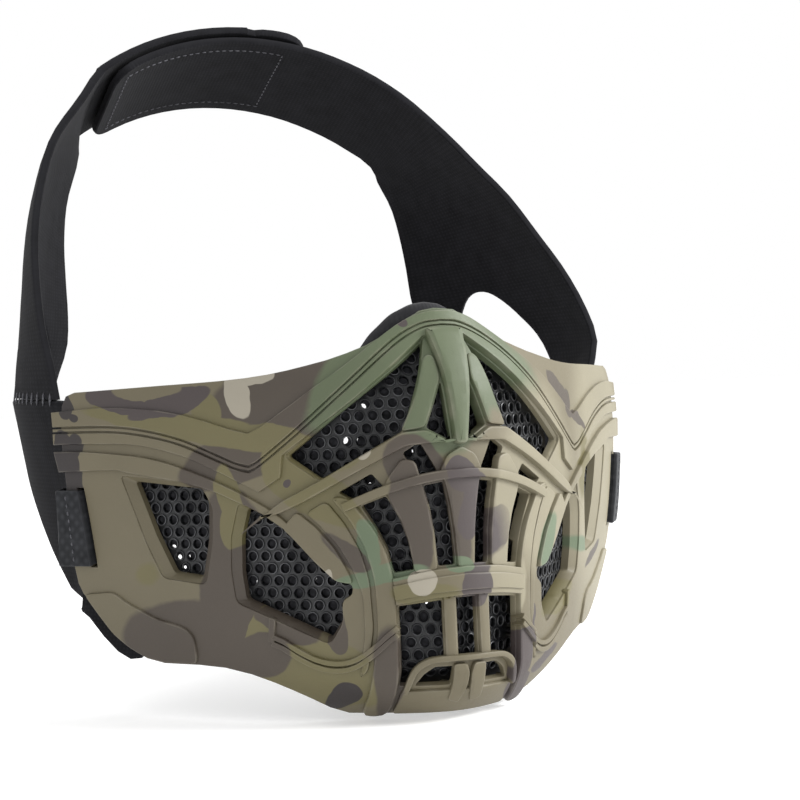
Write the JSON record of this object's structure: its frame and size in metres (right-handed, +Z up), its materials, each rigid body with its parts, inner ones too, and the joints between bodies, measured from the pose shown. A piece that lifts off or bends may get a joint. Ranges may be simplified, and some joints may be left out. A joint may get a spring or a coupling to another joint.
{
  "type": "camo face mask",
  "caption": "Moulded half face mask with an open grille, perforated mesh liners, a foam nose pad and an adjustable neoprene headband.",
  "frame": {"origin": "middle of the shell's top edge, on the bridge of the nose", "axes": "+Z up, +Y back towards the ears, +X towards the wearer's left"},
  "size_m": [0.1898, 0.1778, 0.2073],
  "materials": {
    "shell_camo": "moulded nylon with a satin transfer-printed woodland pattern",
    "mesh_black": "black powder-coated perforated sheet",
    "screw_black": "blackened steel",
    "neoprene": "black knitted neoprene",
    "webbing": "dark grey woven webbing",
    "foam": "black closed-cell foam",
    "hook_tape": "black hook tape"
  },
  "bodies": {
    "mask": {"front_mesh": "mesh_black", "front_screw_left_arm": "screw_black", "front_screw_left_jaw": "screw_black", "front_screw_middle": "screw_black", "front_screw_right_arm": "screw_black", "front_screw_right_jaw": "screw_black", "left_cheek_mesh": "mesh_black", "left_cheek_screw_1": "screw_black", "left_cheek_screw_2": "screw_black", "left_cheek_screw_3": "screw_black", "left_cheek_screw_4": "screw_black", "left_side_wing": "neoprene", "left_strap_front_leg": "neoprene", "left_strap_rear_leg": "neoprene", "left_tab": "webbing", "nose_pad": "foam", "outer_shell": "shell_camo", "right_cheek_mesh": "mesh_black", "right_cheek_screw_1": "screw_black", "right_cheek_screw_2": "screw_black", "right_cheek_screw_3": "screw_black", "right_cheek_screw_4": "screw_black", "right_side_wing": "neoprene", "right_strap_front_leg": "neoprene", "right_strap_rear_leg": "neoprene", "right_tab": "webbing"},
    "headband": {"left_strap": "neoprene", "right_strap": "neoprene", "hook_patch": "hook_tape"},
    "tongue": {"strap_tongue": "neoprene"},
    "flap": {"strap_flap": "neoprene"}
  },
  "joints": [
    {"name": "headband_swing", "type": "hinge", "parent": "mask", "child": "headband", "pos_m": [0, 0.121, 0.028], "axis": [1, 0, 0], "range_deg": [-25, 25]},
    {"name": "strap_adjust", "type": "hinge", "parent": "headband", "child": "tongue", "pos_m": [-0.008, 0.11527, 0.01469], "axis": [0, 0.9065, -0.4222], "range_deg": [0, 12]},
    {"name": "crown_peel", "type": "hinge", "parent": "tongue", "child": "flap", "pos_m": [-0.00479, 0.14982, 0.08887], "axis": [0, -0.9065, 0.4222], "range_deg": [0, 50]}
  ]
}
